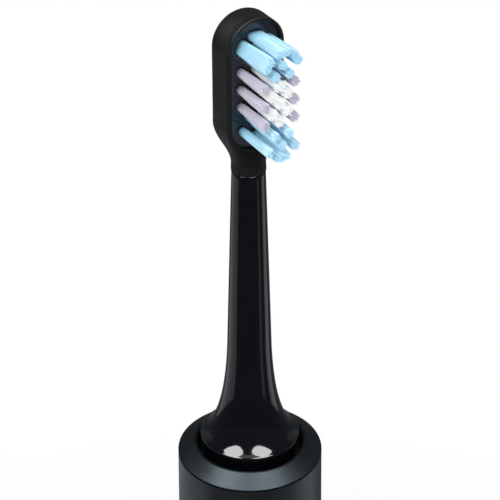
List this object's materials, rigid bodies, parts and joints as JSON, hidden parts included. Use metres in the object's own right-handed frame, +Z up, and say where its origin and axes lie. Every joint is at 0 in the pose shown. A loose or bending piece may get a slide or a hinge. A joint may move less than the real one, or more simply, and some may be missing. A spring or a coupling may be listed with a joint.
{
  "type": "electric toothbrush on charger",
  "caption": "Cylindrical sonic toothbrush with a bell-footed slim head, rubber-backed bristle plate and press button, standing on a round inductive charger.",
  "frame": {"origin": "on the table under the brush's long axis, at the centre of the charger's underside", "axes": "+Z up the brush's long axis, the bristles and the button face -Y, the charging inlet faces +Y"},
  "size_m": [0.052, 0.052, 0.2689],
  "materials": {
    "pad_rubber": "soft anti-slip rubber",
    "charger_plastic": "fine satin moulding",
    "board": "solder mask",
    "copper": "enamelled winding wire",
    "ferrite": "sintered",
    "steel": "plain turned or stamped steel",
    "shell_metal": "fine satin anodised dark grey",
    "collar_metal": "satin anodised blue grey",
    "cap_plastic": "satin moulding",
    "frame_plastic": "as moulded",
    "seal_rubber": "silicone",
    "battery_can": "shrink-wrapped can",
    "chip": "epoxy package",
    "lamp": "lamp package",
    "lens": "smoked clear moulding",
    "button_plastic": "satin coated",
    "stem_gloss": "high gloss black",
    "cover_rubber": "soft matte black overmould",
    "plate_gloss": "gloss blue black",
    "insert_plastic": "as moulded",
    "bristle_blue": "nylon filaments",
    "bristle_lavender": "nylon filaments",
    "bristle_white": "nylon filaments"
  },
  "bodies": {
    "charger": {"charger_pad": "pad_rubber", "charger_base": "charger_plastic", "charger_housing": "charger_plastic", "charger_screws": "steel", "charger_board": "board", "charger_bobbin": "frame_plastic", "charger_coil": "copper", "charger_ferrite": "ferrite", "charging_inlet": "steel"},
    "handle": {"handle_shell": "shell_metal", "bottom_cap": "cap_plastic", "bottom_seal": "seal_rubber", "charge_coil": "copper", "inner_frame": "frame_plastic", "battery": "battery_can", "battery_tabs": "steel", "main_board": "board", "controller_chip": "chip", "tact_switch": "chip", "button_seal": "seal_rubber", "status_lamps": "lamp", "status_lens": "lens", "top_collar": "collar_metal", "top_seal": "seal_rubber", "shaft_boot": "seal_rubber", "motor_case": "steel", "motor_front_plate": "steel", "motor_rear_plate": "steel", "front_bearing": "steel", "rear_bearing": "steel", "stator_core": "steel", "stator_windings": "copper"},
    "button": {"power_button": "button_plastic", "switch_plunger": "chip"},
    "drive": {"drive_shaft": "steel", "rotor_hub": "steel", "rotor_magnets": "steel"},
    "head": {"head_stem": "stem_gloss", "head_insert": "insert_plastic", "head_clip": "steel", "head_cover": "cover_rubber", "tuft_plate": "plate_gloss", "lavender_tufts": "bristle_lavender", "white_tufts": "bristle_white", "blue_tufts": "bristle_blue"}
  },
  "joints": [
    {"name": "handle_lift", "type": "slide", "parent": "charger", "child": "handle", "axis": [0, 0, 1], "range_m": [0, 0.03]},
    {"name": "button_press", "type": "slide", "parent": "handle", "child": "button", "axis": [0, 1, 0], "range_m": [0, 0.0005], "stiffness_N_per_m": 3000},
    {"name": "head_swing", "type": "hinge", "parent": "handle", "child": "drive", "pos_m": [0, 0, 0.171], "axis": [0, 0, 1], "range_deg": [-6, 6], "stiffness_Nm_per_rad": 0.05},
    {"name": "head_pull", "type": "slide", "parent": "drive", "child": "head", "axis": [0, 0, 1], "range_m": [0, 0.03]}
  ]
}
